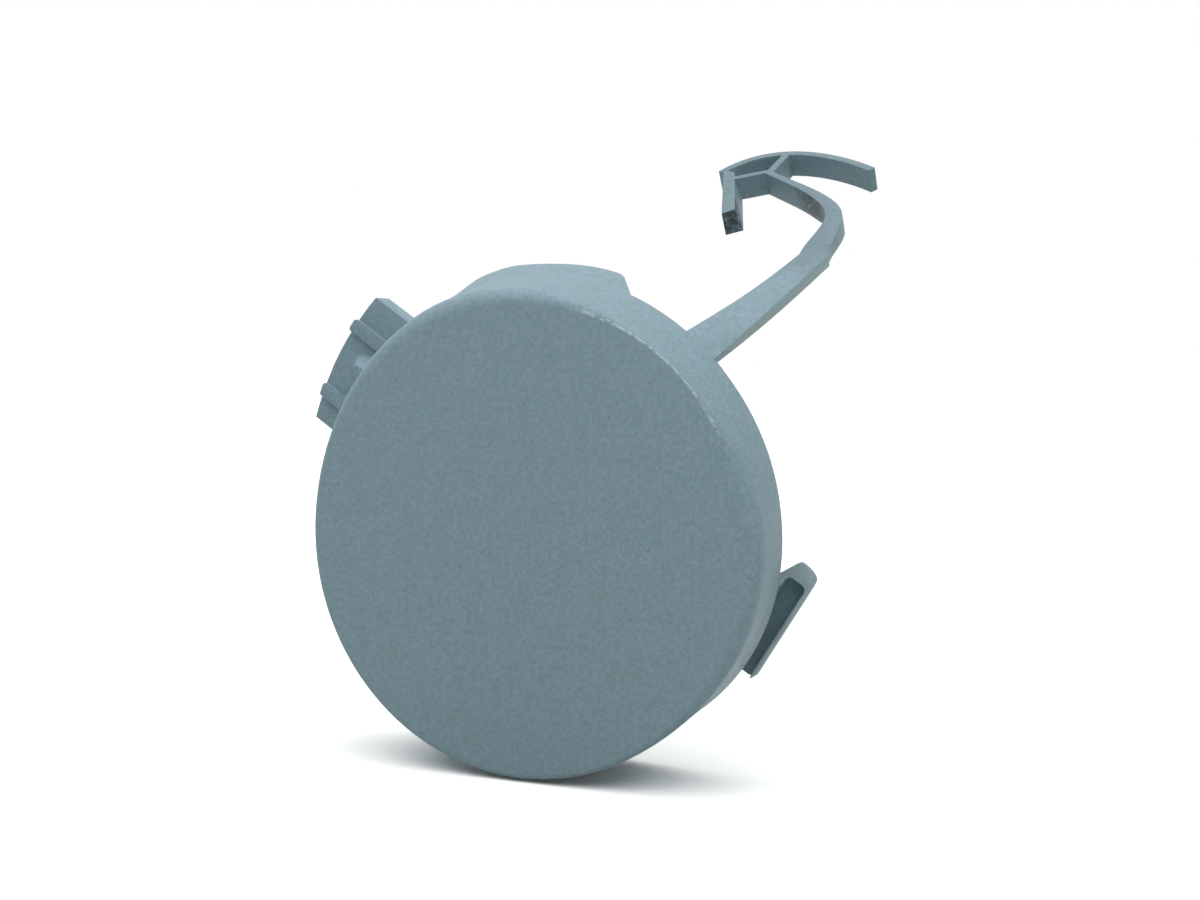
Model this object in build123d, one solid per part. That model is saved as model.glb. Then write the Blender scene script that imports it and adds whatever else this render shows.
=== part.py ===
"""Tow hook cover for a car bumper, moulded in one piece.

A round face closes the towing eye's opening. Behind it stand a slanted skirt with a deeper tongue, a ribbed
flange and a channelled snap tab that grip the opening's edge, and a strap that ends in an anchor, so that the
cover stays with the car when it is pulled off.

Frame, in millimetres: the origin is the centre of the outer face, +Y points into the bumper, +Z is up, and
+X is to the right of someone who looks at the face.
"""
import math
import os

from build123d import *

# Face and skirt
face_radius = 35.0
face_thickness = 2.6
edge_round = 0.9
edge_round_softest = 2.6
edge_round_sharpest = 0.3
sharp_middle = 50.0       # angle round the face where its edge is sharpest
sharp_half_width = 42.0
top_swell = 2.1           # how far the outline swells at the tongue and the flange
top_swell_middle = 114.0
top_swell_half_width = 62.0
side_swell = 1.9          # how far the outline swells above the snap tab
side_swell_middle = -8.0
side_swell_half_width = 52.0
swell_end = 11.0          # depth where the skirt is round again
round_depths = (0, 0.1, 0.3, 0.6, 1.0, 1.6, 2.6)
outline_steps = 48
skirt_wall = 2.0
skirt_flare = 0.131       # growth of the radius for each millimetre of depth
skirt_rise = 0.22         # upward lean of the skirt for each millimetre of depth
skirt_reach = 26.0        # depth of the untrimmed skirt, past its rear edge everywhere
rear_depth = 16.3         # depth of the rear edge's plane on the axis of the face
rear_slope_x = 0.128      # how much shallower the rear edge gets towards +X
rear_slope_z = 0.125      # how much shallower the rear edge gets towards +Z

# Tongue at the top of the skirt
tongue_right = 10.0
tongue_peak = -10.0
tongue_left = -15.8
tongue_right_foot = 14.3
tongue_left_foot = -19.0
tongue_right_depth = 15.9
tongue_peak_depth = 18.8
tongue_left_depth = 18.0
tongue_foot_depth = 9.0
tongue_corner = 2.2
tongue_left_corner = 1.2
tongue_bulge = 0.066      # outward bulge of the tongue's left end for each millimetre of depth
tongue_bulge_middle = 116.0
tongue_bulge_half_width = 26.0

# Ribs inside the face
inner_rib_height = 2.4
inner_rib_thickness = 1.4
inner_rib_spacing = 16.0

# Flange on the upper left
flange_angle = 146.0
flange_reach = 11.5        # from the face's rim to the flange's end
flange_radius = face_radius + flange_reach
flange_front = 15.5
flange_thickness = 4.0
flange_upper = -8.9
flange_lower = 13.6
upper_rib_place = -3.2
upper_rib_width = 2.2
upper_rib_overhang = 0.25
lower_rib_place = 8.65
lower_rib_width = 2.3
lower_rib_overhang = 0.05
flange_rib_height = 0.9
flange_rib_round = 0.6
gusset_root = face_radius + 0.5
gusset_end = flange_radius - 3.3
gusset_upper = -2.6
gusset_lower = 6.2
gusset_height = 3.0
gusset_slope = 1.8        # how far the gusset's sides close in over its height

# Snap tab on the lower right
tab_angle = -32.0
tab_front = 18.0
tab_reach = face_radius + 3.7
tab_upper = 13.9
tab_lower = -5.9
tab_nose_width = 3.3
tab_nose_height = 4.7
tab_outer_round = 2.4
tab_inner_round = 0.9
tab_lower_round = 1.4
tab_depth = 3.4
tab_wall_depth = 2.0      # depth of the straight part of the outer wall
tab_lead_in = 0.65        # how far the outer wall slopes in behind its straight part
tab_nose_depth = 0.8      # depth of the straight part of the upper end
tab_nose_lead_in = 2.2    # how far the upper end slopes down behind its straight part
tab_lip = 0.5
tab_channel_width = 3.4
tab_cheek = 2.9
tab_pocket_depth = 2.4
tab_pocket_round = 0.9
tab_pocket_draft = 0.4
tab_leg_thickness = 2.4
tab_leg_face = tab_reach - tab_lip - tab_channel_width
tab_leg_inside = tab_leg_face - tab_leg_thickness
tab_shoulder = tab_leg_inside + 0.5
tab_shoulder_height = tab_upper - tab_nose_height
tab_root_face = tab_leg_face + 1.0
tab_root_upper = 5.5
tab_root_front = tab_front - 10.0
tab_root_length = 4.6

# Strap between the skirt and the anchor
strap_angle = 47.0        # where the strap leaves the skirt
tether_tilt = 33.0        # slope of the plane that the strap and the anchor lie in
strap_sink = 2.6          # how far the strap's root runs back into the skirt
strap_root_across = -0.2
strap_root_width = 6.1
strap_root_roll = 30.0
strap_bow = 0.45          # sideways bow of the strap at its middle
strap_knee_along = 26.0
strap_knee_across = 10.7
strap_knee_width = 4.6
strap_root_thickness = 1.9
strap_knee_thickness = 1.8

# Hook that the strap bends into
hook_wall = 1.7
hook_step = 0.1           # how far the hook's level stands above the strap's
hook_sink = 0.03
hook_overlap = 2.0
hook_height = 4.0
hook_full_height_along = 44.0
hook_crown_across = 12.0
hook_crown_along = 38.5
hook_shoulder_across = 7.65
hook_shoulder_along = 44.95
junction_across = -4.6
junction_along = 54.4

# Anchor
bow_wall = 1.35
bow_left_across = -12.9
bow_left_along = 54.9
bow_crown_across = -3.0
bow_crown_along = 60.9
bow_shoulder_across = 5.6
bow_shoulder_along = 58.65
bow_right_across = 13.6
bow_right_along = 53.35
strut_width = 1.3
strut_end_across = -2.65
link_wall = 1.1
arm_width = 2.2
arm_end_width = 1.9
arm_end_across = -7.5
arm_end_along = 40.4
arm_top_across = -11.6
arm_top_along = 54.6
arm_draft = 0.75          # how much wider the arm is at its lower side


def skirt_point(angle, depth):
    """A point on the outside of the skirt."""
    radius = face_radius + skirt_flare * depth
    turn = math.radians(angle)
    return Vector(radius * math.cos(turn), depth, skirt_rise * depth + radius * math.sin(turn))


def rear_edge_point(angle):
    """The point of the skirt's rear edge at an angle round the face."""
    depth = rear_depth
    for _ in range(8):
        point = skirt_point(angle, depth)
        depth = rear_depth - rear_slope_x * point.X - rear_slope_z * point.Z
    return skirt_point(angle, depth)


def swell_share(angle, middle, half_width):
    """A smooth swell round the face, 1 in its middle and 0 past its ends."""
    away = abs((angle - middle + 180) % 360 - 180)
    if away >= half_width:
        return 0
    return (1 + math.cos(math.pi * away / half_width)) / 2


def front_round(angle):
    """The radius of the face's front edge, which is sharp on one side and soft at the swells."""
    soft = max(
        swell_share(angle, top_swell_middle, top_swell_half_width),
        swell_share(angle, side_swell_middle, side_swell_half_width),
    )
    sharp = swell_share(angle, sharp_middle, sharp_half_width)
    return edge_round + (edge_round_softest - edge_round) * soft - (edge_round - edge_round_sharpest) * sharp


def outline_radius(angle, depth):
    """The radius of the skirt's outside, with the swells and the rounded front edge."""
    swell = top_swell * swell_share(angle, top_swell_middle, top_swell_half_width)
    swell += side_swell * swell_share(angle, side_swell_middle, side_swell_half_width)
    radius = face_radius + skirt_flare * depth + swell * max(0, 1 - depth / swell_end)
    radius += tongue_bulge * depth * swell_share(angle, tongue_bulge_middle, tongue_bulge_half_width)
    edge = front_round(angle)
    if depth < edge:
        radius -= edge - math.sqrt(edge ** 2 - (edge - depth) ** 2)
    return radius


def skirt_section(depth, inset):
    """A section of the skirt, parallel to the face."""
    plane = Plane(origin=(0, depth, skirt_rise * depth), x_dir=(1, 0, 0), z_dir=(0, -1, 0))
    points = []
    for step in range(outline_steps):
        angle = 360 * step / outline_steps
        radius = outline_radius(angle, depth) - inset
        turn = math.radians(angle)
        points.append((radius * math.cos(turn), radius * math.sin(turn)))
    return plane * make_face(Spline(points, periodic=True))


def cross_plane(depth, angle):
    """A plane parallel to the face, with its x axis along a radius of the skirt."""
    turn = math.radians(angle)
    origin = (0, depth, skirt_rise * depth)
    return Plane(origin=origin, x_dir=(math.cos(turn), 0, math.sin(turn)), z_dir=(0, -1, 0))


def deeper(plane, step):
    """The same plane, further into the bumper by a step."""
    return Plane(origin=plane.origin + Vector(0, step, 0), x_dir=plane.x_dir, z_dir=plane.z_dir)


def nearest_corner(outline, place):
    """The outline's corner that is closest to a place."""
    return min(outline.vertices(), key=lambda corner: math.hypot(corner.X - place[0], corner.Y - place[1]))


def span_box(x_low, x_high, y_low, y_high):
    """A rectangle given by its sides."""
    place = Pos((x_low + x_high) / 2, (y_low + y_high) / 2)
    return place * Rectangle(x_high - x_low, y_high - y_low)


def make_long_skirt():
    """The face and the skirt before the rear edge is cut, still solid."""
    depths = round_depths + (swell_end, skirt_reach)
    return loft([skirt_section(depth, 0) for depth in depths], ruled=True)


def make_hollow():
    """The space inside the skirt."""
    depths = (face_thickness, swell_end, skirt_reach + 1)
    return loft([skirt_section(depth, skirt_wall) for depth in depths], ruled=True)


def make_skirt(long_skirt):
    """The skirt with its slanted rear edge."""
    rear = Plane(origin=(0, rear_depth, 0), z_dir=(rear_slope_x, 1, rear_slope_z))
    return split(long_skirt, bisect_by=rear, keep=Keep.BOTTOM)


def make_tongue(long_skirt):
    """The deeper stretch at the top of the skirt, with sloping sides and rounded corners."""
    outline = Polygon(
        (tongue_left_foot, tongue_foot_depth),
        (tongue_right_foot, tongue_foot_depth),
        (tongue_right, tongue_right_depth),
        (tongue_peak, tongue_peak_depth),
        (tongue_left, tongue_left_depth),
        align=None,
    )
    outline = fillet(nearest_corner(outline, (tongue_right, tongue_right_depth)), tongue_corner)
    outline = fillet(nearest_corner(outline, (tongue_left, tongue_left_depth)), tongue_left_corner)
    return long_skirt & extrude(outline, face_radius * 2)


def make_inner_ribs():
    """Two low ribs across the inside of the face, in line with the flange and the tab."""
    floor = cross_plane(face_thickness, flange_angle)
    half_length = face_radius - skirt_wall / 2
    ribs = [
        span_box(-half_length, half_length, place - inner_rib_thickness / 2, place + inner_rib_thickness / 2)
        for place in (-inner_rib_spacing / 2, inner_rib_spacing / 2)
    ]
    return extrude(floor * (ribs[0] + ribs[1]), inner_rib_height, dir=(0, 1, 0))


def make_flange():
    """The plate that hooks behind the edge of the opening, with two ribs and a gusset."""
    front = cross_plane(flange_front, flange_angle)
    root = face_radius - skirt_wall / 2
    plate = Circle(flange_radius) & span_box(root, flange_radius, flange_upper, flange_lower)
    flange = extrude(front * plate, flange_thickness, dir=(0, 1, 0))
    flange += make_flange_rib(upper_rib_place, upper_rib_width, upper_rib_overhang)
    flange += make_flange_rib(lower_rib_place, lower_rib_width, lower_rib_overhang)
    return flange + make_flange_gusset()


def make_flange_rib(place, width, overhang):
    """A rib along the flange that stands proud of its front and its end."""
    plane = cross_plane(flange_front, flange_angle)
    plane = deeper(plane, -flange_rib_height)
    root = face_radius - skirt_wall / 2
    reach = flange_radius + overhang
    rib = Circle(reach) & span_box(root, reach, place - width / 2, place + width / 2)
    rib = fillet(rib.vertices().sort_by(Axis.X)[-2:], flange_rib_round)
    return extrude(plane * rib, flange_thickness + flange_rib_height, dir=(0, 1, 0))


def make_flange_gusset():
    """The wedge between the ribs that braces the flange against the skirt."""
    front = cross_plane(flange_front, flange_angle)
    foot = gusset_outline(0)
    top = gusset_outline(gusset_slope)
    wedge = loft([front * foot, deeper(front, -gusset_height) * top], ruled=True)
    return wedge + extrude(front * foot, flange_thickness / 2, dir=(0, 1, 0))


def gusset_outline(inset):
    """The gusset's outline, drawn in by an inset on its free sides."""
    middle = (gusset_upper + gusset_lower) / 2
    end = gusset_end - inset
    return Polygon(
        (gusset_root, gusset_upper + inset),
        (end - 2.2, gusset_upper + 1.6 + inset),
        (end, middle - 1.4 + inset / 2),
        (end, middle + 0.8 - inset / 2),
        (end - 1.7, gusset_lower - 1.6 - inset),
        (gusset_root, gusset_lower - inset),
        align=None,
    )


def tab_outline():
    """The tab's outline, with a nose at its upper end."""
    corners = (
        (tab_leg_inside, tab_lower),
        (tab_reach, tab_lower),
        (tab_reach, tab_upper - 0.7),
        (tab_reach - tab_nose_width, tab_upper),
        (tab_shoulder, tab_shoulder_height),
        (tab_leg_inside, tab_shoulder_height),
    )
    outline = Polygon(*corners, align=None)
    outline = fillet(nearest_corner(outline, corners[2]), tab_outer_round)
    outline = fillet(nearest_corner(outline, corners[3]), tab_inner_round)
    return fillet(nearest_corner(outline, corners[1]), tab_lower_round)


def tab_pocket(draft):
    """The channel's outline, drawn in by its draft."""
    pocket = span_box(
        tab_leg_face + draft / 2,
        tab_reach - tab_lip - draft,
        tab_lower - 2,
        tab_upper - tab_cheek - draft,
    )
    return fillet(pocket.vertices().sort_by(Axis.Y)[-2:], tab_pocket_round)


def make_tab():
    """The snap tab: a leg inside the skirt and a channel with an outer lip and a closed upper end."""
    front = cross_plane(tab_front, tab_angle)
    tab = extrude(front * tab_outline(), tab_depth, dir=(0, 1, 0))
    tab &= make_tab_side(front)
    tab &= make_tab_end(front)
    channel = loft([front * tab_pocket(0), deeper(front, tab_pocket_depth) * tab_pocket(tab_pocket_draft)], ruled=True)
    tab -= channel
    root_start = deeper(front, tab_root_front - tab_front)
    leg = span_box(tab_leg_inside, tab_leg_face, tab_lower, tab_shoulder_height)
    root = span_box(tab_leg_inside, tab_root_face, tab_lower, tab_root_upper)
    tab += extrude(root_start * leg, tab_front - tab_root_front + tab_pocket_depth, dir=(0, 1, 0))
    return tab + extrude(root_start * root, tab_root_length, dir=(0, 1, 0))


def make_tab_side(front):
    """The tab's side profile, whose outer wall slopes in behind to slip past the opening's edge."""
    side = Polygon(
        (tab_leg_inside - 1, 0),
        (tab_reach, 0),
        (tab_reach, tab_wall_depth),
        (tab_reach - tab_lead_in, tab_depth),
        (tab_leg_inside - 1, tab_depth),
        align=None,
    )
    start = front.origin + front.y_dir * (tab_lower - 1)
    plane = Plane(origin=start, x_dir=front.x_dir, z_dir=front.y_dir)
    return extrude(plane * side, tab_upper - tab_lower + 2, dir=front.y_dir)


def make_tab_end(front):
    """The tab's profile along its length, whose upper end slopes down behind."""
    profile = Polygon(
        (0, tab_lower - 1),
        (0, tab_upper),
        (tab_nose_depth, tab_upper),
        (tab_depth, tab_upper - tab_nose_lead_in),
        (tab_depth, tab_lower - 1),
        align=None,
    )
    start = front.origin + front.x_dir * (tab_leg_inside - 1)
    plane = Plane(origin=start, x_dir=(0, 1, 0), z_dir=front.y_dir.cross(Vector(0, 1, 0)) * -1)
    return extrude(plane * profile, tab_reach - tab_leg_inside + 2, dir=front.x_dir)


def tether_plane():
    """The sloping plane of the strap and the anchor, with its origin on the skirt's rear edge."""
    tilt = math.radians(tether_tilt)
    root = rear_edge_point(strap_angle)
    return Plane(origin=root, x_dir=(1, 0, 0), z_dir=(0, -math.sin(tilt), math.cos(tilt)))


def strap_section(share):
    """A section of the strap. Its share of the way runs from 0 at the rear edge to 1 at the knee."""
    plane = tether_plane()
    way = strap_knee_across - strap_root_across
    run = (plane.x_dir * way + plane.y_dir * strap_knee_along).normalized()
    roll = strap_root_roll * (1 - share) ** 2.2
    across = run.cross(plane.z_dir).rotate(Axis((0, 0, 0), run), roll)
    width = strap_root_width + (strap_knee_width - strap_root_width) * share
    thickness = strap_root_thickness + (strap_knee_thickness - strap_root_thickness) * share
    sideways = strap_root_across + way * share + strap_bow * math.sin(math.pi * max(0, share))
    top = plane.origin + plane.x_dir * sideways + plane.y_dir * (strap_knee_along * share)
    section = Plane(origin=top, x_dir=across, z_dir=run)
    sign = 1 if section.y_dir.dot(plane.z_dir) > 0 else -1
    return section * (Pos(0, -sign * (thickness / 2 + hook_step)) * Rectangle(width, thickness))


def make_strap():
    """The flat strap, which turns a little between the round skirt and the level knee."""
    length = math.hypot(strap_knee_across - strap_root_across, strap_knee_along)
    shares = (-strap_sink / length, 0.17, 0.34, 0.5, 0.67, 0.84, 1)
    return loft([strap_section(share) for share in shares])


def hook_outline():
    """The strap's bend, from the knee to the junction, as a wall that gets thinner."""
    knee_out = strap_knee_across + strap_knee_width / 2
    knee_in = strap_knee_across - strap_knee_width / 2
    outer = Spline(
        (knee_out - 0.4, strap_knee_along - 1.5),
        (hook_crown_across + 0.6, hook_crown_along - 5),
        (hook_crown_across, hook_crown_along),
        (hook_shoulder_across, hook_shoulder_along),
        (junction_across, junction_along + hook_wall / 2),
    )
    inner = Spline(
        (junction_across, junction_along - hook_wall / 2),
        (hook_shoulder_across - 1.3, hook_shoulder_along - 1.4),
        (hook_crown_across - 2.6, hook_crown_along - 0.6),
        (knee_in + 0.5, strap_knee_along + 5),
        (knee_in - 0.3, strap_knee_along - 1.3),
    )
    closing = [Line(outer @ 1, inner @ 0), Line(inner @ 1, outer @ 0)]
    return make_face([outer, inner] + closing)


def make_hook():
    """The bend, which grows from the strap's thickness to the anchor's height."""
    plane = tether_plane()
    wall = extrude(plane * hook_outline(), hook_height, dir=-plane.z_dir)
    side = Polygon(
        (strap_knee_along - hook_overlap, -4 * hook_step),
        (strap_knee_along, -hook_step - hook_sink),
        (strap_knee_along + hook_overlap, 0),
        (junction_along + 2, 0),
        (junction_along + 2, -hook_height),
        (hook_full_height_along, -hook_height),
        (strap_knee_along + hook_overlap, -strap_knee_thickness - 2 * hook_step),
        (strap_knee_along, -strap_knee_thickness - hook_step + hook_sink),
        (strap_knee_along - hook_overlap, -strap_knee_thickness + 2 * hook_step),
        align=None,
    )
    upright = Plane(origin=plane.origin + plane.x_dir * (bow_left_across - 1), x_dir=plane.y_dir, z_dir=plane.x_dir)
    return wall & extrude(upright * side, bow_right_across - bow_left_across + 2, dir=plane.x_dir)


def make_anchor():
    """The bow with its strut, link and arm, all of one height."""
    crown = Spline(
        (bow_left_across, bow_left_along),
        (bow_crown_across, bow_crown_along),
        (bow_shoulder_across, bow_shoulder_along),
        (bow_right_across, bow_right_along),
    )
    bow = trace(crown, bow_wall)
    strut = trace(Line((junction_across + 0.6, junction_along), (strut_end_across, bow_crown_along)), strut_width)
    link_end = (arm_top_across + arm_width / 2, arm_top_along - 2.4)
    link = trace(Line((junction_across + 0.3, junction_along), link_end), link_wall)
    plane = tether_plane()
    flat = extrude(plane * (bow + strut + link), hook_height, dir=-plane.z_dir)
    lower = Plane(origin=plane.origin - plane.z_dir * hook_height, x_dir=plane.x_dir, z_dir=plane.z_dir)
    return flat + loft([plane * arm_outline(0), lower * arm_outline(arm_draft)], ruled=True)


def arm_outline(draft):
    """The arm's outline, wider by its draft on the right."""
    return Polygon(
        (arm_top_across - arm_width / 2, arm_top_along + 0.9),
        (arm_end_across - arm_end_width / 2, arm_end_along - 0.7),
        (arm_end_across + arm_end_width / 2 + draft, arm_end_along + 0.7),
        (arm_top_across + arm_width / 2 + draft, arm_top_along),
        align=None,
    )


def make_cover():
    """The whole moulding."""
    long_skirt = make_long_skirt()
    cover = make_skirt(long_skirt) + make_tongue(long_skirt)
    cover += make_flange()
    cover += make_strap() + make_hook() + make_anchor()
    cover -= make_hollow()
    cover += make_inner_ribs()
    return cover + make_tab()


os.makedirs("parts", exist_ok=True)
cover = make_cover()
solid = cover.solids().sort_by(SortBy.VOLUME)[-1]
solid.label = "tow_hook_cover"
export_step(solid, "parts/tow_hook_cover.step")
print("solids", len(cover.solids()), "volume", round(solid.volume, 1))
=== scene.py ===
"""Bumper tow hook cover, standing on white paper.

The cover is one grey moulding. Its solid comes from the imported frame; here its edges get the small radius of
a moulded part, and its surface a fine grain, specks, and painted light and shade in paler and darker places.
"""
import math

import bmesh
import bpy
from mathutils import Matrix, Vector


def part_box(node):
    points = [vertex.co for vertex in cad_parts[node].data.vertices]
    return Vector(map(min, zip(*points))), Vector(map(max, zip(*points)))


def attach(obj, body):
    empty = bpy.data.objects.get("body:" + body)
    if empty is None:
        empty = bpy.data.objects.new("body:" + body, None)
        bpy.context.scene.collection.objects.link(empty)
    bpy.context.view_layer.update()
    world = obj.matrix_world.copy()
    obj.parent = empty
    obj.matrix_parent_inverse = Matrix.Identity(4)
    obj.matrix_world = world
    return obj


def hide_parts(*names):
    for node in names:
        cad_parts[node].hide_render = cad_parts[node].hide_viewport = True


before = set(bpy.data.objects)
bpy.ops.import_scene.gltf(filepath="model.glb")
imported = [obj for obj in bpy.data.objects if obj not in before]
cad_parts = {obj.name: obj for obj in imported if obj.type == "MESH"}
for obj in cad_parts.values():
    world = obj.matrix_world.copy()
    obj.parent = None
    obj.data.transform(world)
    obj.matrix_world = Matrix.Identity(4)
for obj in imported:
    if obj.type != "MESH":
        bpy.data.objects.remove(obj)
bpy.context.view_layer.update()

MM = 0.001

# Camera, placed so that the view matches the photograph; the lens is a choice
CAMERA_PLACE = Vector((102.49, -207.45, 27.28)) * MM
CAMERA_RIGHT = Vector((0.9183, 0.3959, 0.0))
CAMERA_UP = Vector((-0.0237, 0.0550, 0.9982))
CAMERA_LENS = 48.0
CAMERA_SENSOR = 36.0
CAMERA_NEAR = 0.01
CAMERA_FAR = 50.0

# Paper under and behind the cover: above full white where it is seen, darker where it throws light back
PAPER_HALF_SIZE = 6.0
PAPER_WHITE = (1.35, 1.36, 1.34, 1)
PAPER_BOUNCE = (0.49, 0.51, 0.48, 1)
PAPER_GLOW = 0.02
# The paper lies this far below the cover's lowest point, for the dark line under the cover
PAPER_DROP = 0.5 * MM

# Light
SKY_AT_HORIZON = 0.10
SKY_OVERHEAD = 0.50
SKY_COLOUR = (0.97, 0.99, 1.0, 1)
BACKDROP_WHITE = (1, 1, 1, 1)
BACKDROP_STRENGTH = 1.0
KEY_STRENGTH = 2.35
KEY_SOFTNESS = math.radians(90)
KEY_FROM = Vector((0.08, -0.20, 0.97))

# Moulding
EDGE_ROUND = 0.22 * MM
EDGE_ROUND_STEPS = 3
EDGE_ANGLE = math.radians(32)
SAME_POINT = 0.002 * MM
FLAT_ANGLE = math.radians(0.3)

# Ribs on the flange: ramps whose upper side lies further back than their sharp lower side
FLANGE_ANGLE = math.radians(146)
FLANGE_FROM = 36.0 * MM
RIB_FRONT = 14.6 * MM
RIB_SIDES = ((-4.3 * MM, -2.1 * MM), (7.5 * MM, 9.8 * MM))
RIB_FALL = 0.85 * MM
RIB_RISE = 0.35 * MM
NEAR = 0.1 * MM

# Plastic
PLASTIC_BLUE = (0.249, 0.350, 0.416, 1)
PLASTIC_GREEN = (0.234, 0.344, 0.384, 1)
CLOUD_SIZE = 2.8 * MM
CLOUD_LEVELS = (0.35, 0.65)
MOTTLE_SIZE = 0.7 * MM
MOTTLE_LEVELS = (0.34, 0.66)
MOTTLE_DARK = 0.90
MOTTLE_LIGHT = 1.07
GRAIN_SIZE = 0.35 * MM
GRAIN_HEIGHT = 0.06 * MM
GRAIN_STRENGTH = 0.5
PLASTIC_ROUGHNESS = 0.55
PLASTIC_GLOSS = 0.30
SPECK_SPACING = 1.25 * MM
SPECK_RADIUS = 0.11 * MM
SPECK_CORE = 0.5
SPECK_RIM = 1.3
SPECK_DEPTH = 0.6
SPECK_GREY = (0.05, 0.065, 0.075, 1)

# Broken light line on the face's front edge, from the right round to the top, taken as scuffs
EDGE_LINE_GREY = (0.44, 0.56, 0.62, 1)
EDGE_LINE_MIDDLE = math.radians(52)
EDGE_LINE_HALF_WIDTH = math.radians(27)
EDGE_LINE_FADE = 0.75
EDGE_LINE_DEPTH = 0.2 * MM
EDGE_LINE_FRONT = (0.02, 0.25)
EDGE_LINE_BACK = (0.7, 1.3)
EDGE_LINE_BREAK = 0.8 * MM
EDGE_LINE_BREAK_LEVELS = (0.42, 0.60)

# Painted light: a paler tone on the snap tab's front and on the strap's lower right side, for light thrown
# back from the paper on the right
PALE_FACING = (0.6, 0.85)
TO_FRONT = (0.0, -1.0, 0.0)
TAB_PAINTED_LIGHT_GREY = (0.44, 0.545, 0.56, 1)
TAB_FRONT = 18.0 * MM
TAB_FRONT_REACH = (0.3 * MM, 0.6 * MM)
TAB_FROM = 22.0 * MM
TAB_FROM_FADE = 2 * MM
TAB_UPPER_FADE = 4 * MM
TAB_LUMP = 3.0 * MM
TAB_LUMP_LEVELS = (0.35, 0.6)
TAB_LEAST_PALE = 0.7
STRAP_PAINTED_LIGHT_GREY = (0.36, 0.475, 0.50, 1)
STRAP_SIDE = (0.80, 0.0, -0.60)
STRAP_SIDE_FROM = 27.0 * MM
STRAP_SIDE_FADE = 2 * MM
STRAP_SIDE_END = 54.0 * MM
STRAP_SIDE_END_FADE = 6 * MM

# Painted shade: a darker tone on the strap's outer part and the anchor, mostly on their tops
ANCHOR_TOP = (0.0, -0.545, 0.839)
ALONG_STRAP = (0.0, 0.839, 0.545)
TOP_FACING = (0.35, 0.7)
TOP_SHADE_START = 37.0 * MM
TOP_SHADE_END = 52.0 * MM
TOP_SHADE_LEVEL = 0.74
TOP_SHADE_ON_SIDES = 0.35

# Painted shade on the arm's end and the hook's inner side, uneven and kept off their
# tops. Dark places on the arm's end and the hook's inner side, which may be dirt or shade
PAINTED_SHADE_GREY = (0.028, 0.045, 0.048, 1)
ARM_END = (17.2 * MM, 43.5 * MM, 50.6 * MM)
ARM_SHADE_REACH = 6.5 * MM
HOOK_INSIDE = (29.5 * MM, 45.5 * MM, 52.0 * MM)
HOOK_SHADE_REACH = 7.5 * MM
TO_LEFT = (-1.0, 0.0, 0.0)
INNER_FACING = (-0.1, 0.25)
SHADE_LUMP = 0.9 * MM
SHADE_LUMP_LEVELS = (0.30, 0.56)
SPOT_CORE = 0.35


def add_node(tree, kind, label, **settings):
    """A shader node with its settings."""
    node = tree.nodes.new(kind)
    node.label = label
    for name, value in settings.items():
        setattr(node, name, value)
    return node


def feed(tree, socket, value):
    """Gives a socket a number, or links another node's socket to it."""
    if isinstance(value, (int, float, tuple)):
        socket.default_value = value
    else:
        tree.links.new(value, socket)


def math_node(tree, operation, label, *values):
    """A math node fed by sockets or numbers."""
    node = add_node(tree, "ShaderNodeMath", label, operation=operation)
    for socket, value in zip(node.inputs, values):
        feed(tree, socket, value)
    return node.outputs[0]


def step_node(tree, label, value, low, high, at_low=0.0, at_high=1.0):
    """A smooth step from one value at the low end to another at the high end."""
    node = add_node(tree, "ShaderNodeMapRange", label, interpolation_type="SMOOTHSTEP")
    feed(tree, node.inputs["Value"], value)
    node.inputs["From Min"].default_value = low
    node.inputs["From Max"].default_value = high
    node.inputs["To Min"].default_value = at_low
    node.inputs["To Max"].default_value = at_high
    return node.outputs["Result"]


def noise_node(tree, label, place, size, detail, roughness=0.5):
    """A noise whose lumps have a given size on the part."""
    node = add_node(tree, "ShaderNodeTexNoise", label)
    node.inputs["Scale"].default_value = 1 / size
    node.inputs["Detail"].default_value = detail
    node.inputs["Roughness"].default_value = roughness
    tree.links.new(place, node.inputs["Vector"])
    return node.outputs["Fac"]


def colour_mix(tree, label, factor, first, second, blend="MIX"):
    """Two colours mixed by a factor."""
    node = add_node(tree, "ShaderNodeMix", label, data_type="RGBA", blend_type=blend)
    feed(tree, node.inputs["Factor"], factor)
    feed(tree, node.inputs["A"], first)
    feed(tree, node.inputs["B"], second)
    return node.outputs["Result"]


def all_of(tree, label, *masks):
    """The product of several masks."""
    total = masks[0]
    for mask in masks[1:]:
        total = math_node(tree, "MULTIPLY", label, total, mask)
    return total


def direction_share(tree, label, vector, direction):
    """How far a vector reaches in one direction."""
    node = add_node(tree, "ShaderNodeVectorMath", label, operation="DOT_PRODUCT")
    tree.links.new(vector, node.inputs[0])
    node.inputs[1].default_value = direction
    return node.outputs["Value"]


def near_spot(tree, label, place, spot, reach):
    """One at a spot on the part, falling to nothing at its reach."""
    away = add_node(tree, "ShaderNodeVectorMath", label, operation="DISTANCE")
    tree.links.new(place, away.inputs[0])
    away.inputs[1].default_value = spot
    return step_node(tree, label, away.outputs["Value"], reach * SPOT_CORE, reach, 1.0, 0.0)


def place_camera():
    """The photograph's view."""
    data = bpy.data.cameras.new("camera")
    data.lens = CAMERA_LENS
    data.sensor_width = CAMERA_SENSOR
    data.sensor_fit = "HORIZONTAL"
    data.clip_start = CAMERA_NEAR
    data.clip_end = CAMERA_FAR
    camera = bpy.data.objects.new("camera", data)
    bpy.context.scene.collection.objects.link(camera)
    back = CAMERA_RIGHT.cross(CAMERA_UP)
    turn = Matrix((CAMERA_RIGHT, CAMERA_UP, back)).transposed()
    camera.matrix_world = Matrix.Translation(CAMERA_PLACE) @ turn.to_4x4()
    bpy.context.scene.camera = camera


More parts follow.
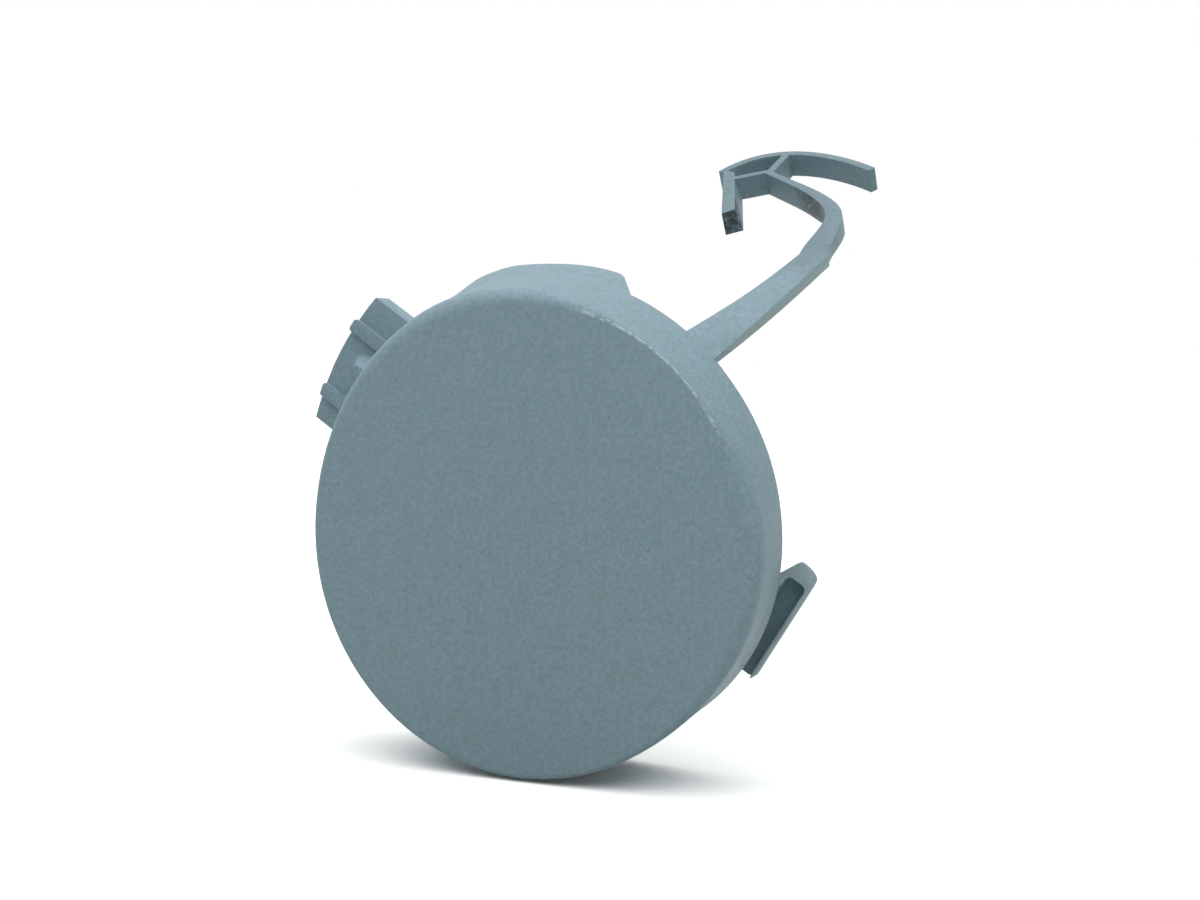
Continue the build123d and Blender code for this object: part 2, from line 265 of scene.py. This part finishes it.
def add_sun(name, strength, softness, coming_from):
    """A broad even lamp."""
    data = bpy.data.lights.new(name, "SUN")
    data.energy = strength
    data.angle = softness
    lamp = bpy.data.objects.new(name, data)
    lamp.rotation_euler = coming_from.to_track_quat("Z", "Y").to_euler()
    bpy.context.scene.collection.objects.link(lamp)


def seen_directly(tree):
    """One where the camera looks, a mirror or glass shows, and nothing where only light travels."""
    rays = add_node(tree, "ShaderNodeLightPath", "who looks").outputs
    seen = math_node(tree, "MAXIMUM", "seen or mirrored", rays["Is Camera Ray"], rays["Is Glossy Ray"])
    return math_node(tree, "MAXIMUM", "or through glass", seen, rays["Is Transmission Ray"])


def light_studio():
    """A soft sky that is brighter overhead, and one broad lamp."""
    world = bpy.data.worlds.new("studio")
    bpy.context.scene.world = world
    world.use_nodes = True
    tree = world.node_tree
    tree.nodes.clear()
    sky = add_node(tree, "ShaderNodeBackground", "sky light")
    sky.inputs["Color"].default_value = SKY_COLOUR
    place = add_node(tree, "ShaderNodeTexCoord", "direction").outputs["Generated"]
    height = add_node(tree, "ShaderNodeSeparateXYZ", "height")
    tree.links.new(place, height.inputs[0])
    upward = height.outputs["Z"]
    strength = step_node(tree, "brighter overhead", upward, 0.0, 1.0, SKY_AT_HORIZON, SKY_OVERHEAD)
    tree.links.new(strength, sky.inputs["Strength"])
    white = add_node(tree, "ShaderNodeBackground", "white backdrop")
    white.inputs["Color"].default_value = BACKDROP_WHITE
    white.inputs["Strength"].default_value = BACKDROP_STRENGTH
    mix = add_node(tree, "ShaderNodeMixShader", "backdrop or light")
    tree.links.new(seen_directly(tree), mix.inputs[0])
    tree.links.new(sky.outputs[0], mix.inputs[1])
    tree.links.new(white.outputs[0], mix.inputs[2])
    output = add_node(tree, "ShaderNodeOutputWorld", "world")
    tree.links.new(mix.outputs[0], output.inputs["Surface"])
    add_sun("overhead lamp", KEY_STRENGTH, KEY_SOFTNESS, KEY_FROM)


def paper_finish():
    """Paper that looks white and keeps its shadow, and throws less light back up than it shows."""
    material = bpy.data.materials.new("white_paper")
    material.use_nodes = True
    tree = material.node_tree
    tree.nodes.clear()
    seen = seen_directly(tree)
    paper = add_node(tree, "ShaderNodeBsdfDiffuse", "paper")
    colour = colour_mix(tree, "white or bounce", seen, PAPER_BOUNCE, PAPER_WHITE)
    tree.links.new(colour, paper.inputs["Color"])
    glow = add_node(tree, "ShaderNodeEmission", "white to the camera")
    tree.links.new(math_node(tree, "MULTIPLY", "glow", seen, PAPER_GLOW), glow.inputs["Strength"])
    total = add_node(tree, "ShaderNodeAddShader", "paper and glow")
    tree.links.new(paper.outputs[0], total.inputs[0])
    tree.links.new(glow.outputs[0], total.inputs[1])
    output = add_node(tree, "ShaderNodeOutputMaterial", "surface")
    tree.links.new(total.outputs[0], output.inputs["Surface"])
    return material


def lay_paper(height):
    """The sheet that the cover stands on."""
    mesh = bpy.data.meshes.new("paper_sheet")
    size = PAPER_HALF_SIZE
    corners = [(-size, -size, height), (size, -size, height), (size, size, height), (-size, size, height)]
    mesh.from_pydata(corners, [], [(0, 1, 2, 3)])
    sheet = bpy.data.objects.new("paper_sheet", mesh)
    bpy.context.scene.collection.objects.link(sheet)
    mesh.materials.append(paper_finish())


def edge_line_mask(tree, place, x, depth, z):
    """A broken light line along the face's front edge."""
    turn = math_node(tree, "ARCTAN2", "angle round the face", z, x)
    from_middle = math_node(tree, "SUBTRACT", "turn", turn, EDGE_LINE_MIDDLE)
    off = math_node(tree, "ABSOLUTE", "off the scuffs' middle", from_middle)
    fade_from = EDGE_LINE_HALF_WIDTH * EDGE_LINE_FADE
    along = step_node(tree, "lined part of the edge", off, fade_from, EDGE_LINE_HALF_WIDTH, 1.0, 0.0)
    front_low, front_high = (EDGE_LINE_DEPTH * share for share in EDGE_LINE_FRONT)
    front = step_node(tree, "off the flat face", depth, front_low, front_high)
    back_low, back_high = (EDGE_LINE_DEPTH * share for share in EDGE_LINE_BACK)
    back = step_node(tree, "before the skirt", depth, back_low, back_high, 1.0, 0.0)
    broken = noise_node(tree, "broken line", place, EDGE_LINE_BREAK, detail=3.0, roughness=0.6)
    breaks = step_node(tree, "breaks", broken, *EDGE_LINE_BREAK_LEVELS)
    return all_of(tree, "edge_lines", along, front, back, breaks)


def tab_painted_light_mask(tree, place, x, depth, z, normal):
    """The front of the snap tab, where painted light gives a paler and slightly uneven tone."""
    forward = direction_share(tree, "to the front", normal, TO_FRONT)
    front = step_node(tree, "faces the front", forward, *PALE_FACING)
    behind = math_node(tree, "SUBTRACT", "behind it", depth, TAB_FRONT)
    near = math_node(tree, "ABSOLUTE", "off the tab's front", behind)
    level = step_node(tree, "on the tab's front", near, *TAB_FRONT_REACH, 1.0, 0.0)
    right = step_node(tree, "tab's side of the cover", x, TAB_FROM, TAB_FROM + TAB_FROM_FADE)
    low = step_node(tree, "lower half", z, 0.0, TAB_UPPER_FADE, 1.0, 0.0)
    lumps = noise_node(tree, "uneven tone", place, TAB_LUMP, detail=2.0)
    uneven = step_node(tree, "uneven", lumps, *TAB_LUMP_LEVELS, TAB_LEAST_PALE, 1.0)
    return all_of(tree, "tab's front", front, level, right, low, uneven)


def strap_painted_light_mask(tree, place, z, normal):
    """The strap's lower right side, where painted light gives a paler tone."""
    sideways = direction_share(tree, "to the side", normal, STRAP_SIDE)
    side = step_node(tree, "faces the lower right", sideways, *PALE_FACING)
    high = step_node(tree, "above the skirt", z, STRAP_SIDE_FROM, STRAP_SIDE_FROM + STRAP_SIDE_FADE)
    along = direction_share(tree, "along the strap", place, ALONG_STRAP)
    fade_from = STRAP_SIDE_END - STRAP_SIDE_END_FADE
    before = step_node(tree, "before the hook", along, fade_from, STRAP_SIDE_END, 1.0, 0.0)
    return all_of(tree, "strap's side", side, high, before)


def painted_top_shade(tree, place, facing):
    """Painted shade that darkens the strap's outer part and the anchor, mostly on their tops."""
    along = direction_share(tree, "along the strap", place, ALONG_STRAP)
    outer = step_node(tree, "outer part", along, TOP_SHADE_START, TOP_SHADE_END)
    tops = step_node(tree, "mostly the tops", facing, *TOP_FACING, TOP_SHADE_ON_SIDES, 1.0)
    share = all_of(tree, "outer tops", outer, tops)
    return step_node(tree, "dull", share, 0.0, 1.0, 1.0, TOP_SHADE_LEVEL)


def painted_shade_mask(tree, place, normal, facing):
    """Uneven painted shade on the arm's end and on the hook's inner side, and none on their tops."""
    sides = step_node(tree, "sides only", facing, *TOP_FACING, 1.0, 0.0)
    arm = near_spot(tree, "arm's end", place, ARM_END, ARM_SHADE_REACH)
    bend = near_spot(tree, "at the hook's bend", place, HOOK_INSIDE, HOOK_SHADE_REACH)
    leftward = direction_share(tree, "to the left", normal, TO_LEFT)
    inner = step_node(tree, "inner side", leftward, *INNER_FACING)
    hook = all_of(tree, "inside the hook", bend, inner)
    where = math_node(tree, "MAXIMUM", "either place", arm, hook)
    uneven = noise_node(tree, "uneven dark", place, SHADE_LUMP, detail=4.0, roughness=0.7)
    lumps = step_node(tree, "lumps", uneven, *SHADE_LUMP_LEVELS)
    return all_of(tree, "dark places", where, sides, lumps)


def plastic_finish():
    """Unpainted grey moulded plastic: mottled, finely grained, with specks and painted light and shade in
    paler and darker places.
    """
    material = bpy.data.materials.new("grey_moulding")
    material.use_nodes = True
    tree = material.node_tree
    tree.nodes.clear()
    part = add_node(tree, "ShaderNodeTexCoord", "place and direction on the part")
    place = part.outputs["Object"]
    normal = part.outputs["Normal"]
    axes = add_node(tree, "ShaderNodeSeparateXYZ", "across, depth and height")
    tree.links.new(place, axes.inputs[0])
    x, depth, z = axes.outputs
    facing = direction_share(tree, "towards the anchor's top", normal, ANCHOR_TOP)

    pigment = noise_node(tree, "pigment clouds", place, CLOUD_SIZE, detail=1.0)
    clouds = step_node(tree, "clouds", pigment, *CLOUD_LEVELS)
    colour = colour_mix(tree, "green or blue", clouds, PLASTIC_GREEN, PLASTIC_BLUE)
    mottle = noise_node(tree, "mottled pigment", place, MOTTLE_SIZE, detail=3.0, roughness=0.7)
    shade = step_node(tree, "shade", mottle, *MOTTLE_LEVELS, MOTTLE_DARK, MOTTLE_LIGHT)
    colour = colour_mix(tree, "mottling", 1.0, colour, shade, "MULTIPLY")
    # Painted shade on the strap's outer part and the anchor's tops
    colour = colour_mix(tree, "duller places", 1.0, colour, painted_top_shade(tree, place, facing), "MULTIPLY")

    pinholes = add_node(tree, "ShaderNodeTexVoronoi", "pinholes")
    pinholes.inputs["Scale"].default_value = 1 / SPECK_SPACING
    tree.links.new(place, pinholes.inputs["Vector"])
    away = pinholes.outputs["Distance"]
    reach = SPECK_RADIUS / SPECK_SPACING
    speck = step_node(tree, "specks", away, reach * SPECK_CORE, reach * SPECK_RIM, SPECK_DEPTH, 0.0)
    colour = colour_mix(tree, "specks", speck, colour, SPECK_GREY)
    # Painted light on the snap tab's front and on the strap's lower right side
    tab_light = tab_painted_light_mask(tree, place, x, depth, z, normal)
    colour = colour_mix(tree, "paler tab", tab_light, colour, TAB_PAINTED_LIGHT_GREY)
    strap_light = strap_painted_light_mask(tree, place, z, normal)
    colour = colour_mix(tree, "paler strap side", strap_light, colour, STRAP_PAINTED_LIGHT_GREY)
    edge_lines = edge_line_mask(tree, place, x, depth, z)
    colour = colour_mix(tree, "edge_lines", edge_lines, colour, EDGE_LINE_GREY)
    # Painted shade on the arm's end and the hook's inner side
    dark = painted_shade_mask(tree, place, normal, facing)
    colour = colour_mix(tree, "dark places", dark, colour, PAINTED_SHADE_GREY)

    bump = add_node(tree, "ShaderNodeBump", "grain height")
    bump.inputs["Strength"].default_value = GRAIN_STRENGTH
    bump.inputs["Distance"].default_value = GRAIN_HEIGHT
    tree.links.new(noise_node(tree, "moulded grain", place, GRAIN_SIZE, detail=3.0), bump.inputs["Height"])

    plastic = add_node(tree, "ShaderNodeBsdfPrincipled", "plastic")
    plastic.inputs["Roughness"].default_value = PLASTIC_ROUGHNESS
    plastic.inputs["Specular IOR Level"].default_value = PLASTIC_GLOSS
    tree.links.new(colour, plastic.inputs["Base Color"])
    tree.links.new(bump.outputs["Normal"], plastic.inputs["Normal"])
    output = add_node(tree, "ShaderNodeOutputMaterial", "surface")
    tree.links.new(plastic.outputs[0], output.inputs["Surface"])
    return material


def slope_ribs(shape):
    """Makes ramps of the flange's ribs: the upper side moves back and the lower side forward."""
    along = Vector((math.cos(FLANGE_ANGLE), 0, math.sin(FLANGE_ANGLE)))
    across = Vector((-math.sin(FLANGE_ANGLE), 0, math.cos(FLANGE_ANGLE)))
    for corner in shape.verts:
        if abs(corner.co.y - RIB_FRONT) > NEAR or corner.co.dot(along) < FLANGE_FROM:
            continue
        side = corner.co.dot(across)
        for upper, lower in RIB_SIDES:
            if upper - NEAR < side < lower + NEAR:
                share = (lower - side) / (lower - upper)
                corner.co.y += RIB_FALL * share - RIB_RISE * (1 - share)


def mould_cover(node):
    """A copy of the solid with its faces joined and its edges slightly rounded."""
    shape = bmesh.new()
    shape.from_mesh(node.data)
    bmesh.ops.remove_doubles(shape, verts=shape.verts, dist=SAME_POINT)
    bmesh.ops.dissolve_limit(shape, angle_limit=FLAT_ANGLE, verts=shape.verts, edges=shape.edges)
    slope_ribs(shape)
    for face in shape.faces:
        face.smooth = True
    mesh = bpy.data.meshes.new("cover_moulding")
    shape.to_mesh(mesh)
    shape.free()
    cover = bpy.data.objects.new("cover_moulding", mesh)
    bpy.context.scene.collection.objects.link(cover)
    edges = cover.modifiers.new("moulded edges", "BEVEL")
    edges.width = EDGE_ROUND
    edges.segments = EDGE_ROUND_STEPS
    edges.limit_method = "ANGLE"
    edges.angle_limit = EDGE_ANGLE
    edges.harden_normals = True
    edges.use_clamp_overlap = True
    cover.data.materials.append(plastic_finish())
    return cover


bpy.context.scene.view_settings.view_transform = "Standard"
place_camera()
light_studio()
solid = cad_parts["tow_hook_cover"]
lay_paper(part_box("tow_hook_cover")[0][2] - PAPER_DROP)
cover = mould_cover(solid)
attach(cover, "root")
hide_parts("tow_hook_cover")
